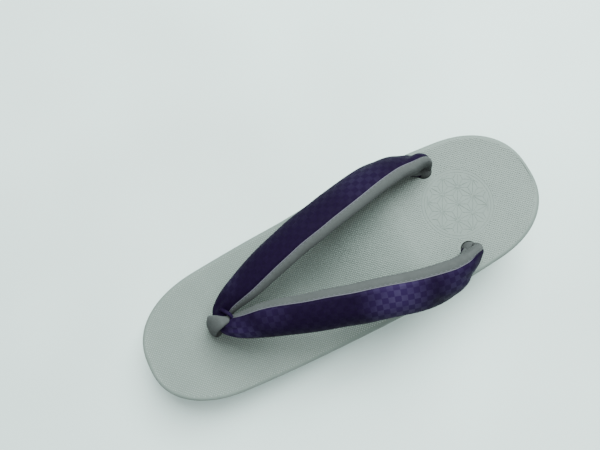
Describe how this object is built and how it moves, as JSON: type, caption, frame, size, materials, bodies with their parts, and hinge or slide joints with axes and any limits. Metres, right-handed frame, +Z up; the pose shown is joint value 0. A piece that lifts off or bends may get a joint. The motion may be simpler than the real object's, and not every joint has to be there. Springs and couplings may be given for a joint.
{
  "type": "zori sandal",
  "caption": "Flat wedge-soled sandal with a padded V strap of patterned cloth, a velour lining and a toe loop.",
  "frame": {"origin": "on the floor, under the middle of the sole's length and width", "axes": "+X from heel to toe, +Y to the wearer's left, +Z up"},
  "size_m": [0.245, 0.0858, 0.0723],
  "materials": {
    "outsole_rubber": "matt moulded rubber",
    "wedge_foam": "smooth moulded foam",
    "footbed_sheet": "embossed foam sheet, soft sheen",
    "strap_jacquard": "woven jacquard in a checker pattern",
    "strap_velour": "short-pile velour",
    "loop_velour": "short-pile velour"
  },
  "bodies": {
    "root": {"outsole": "outsole_rubber", "midsole": "wedge_foam", "footbed": "footbed_sheet", "strap_upper": "strap_jacquard", "strap_lining": "strap_velour", "toe_loop": "loop_velour"}
  },
  "joints": []
}
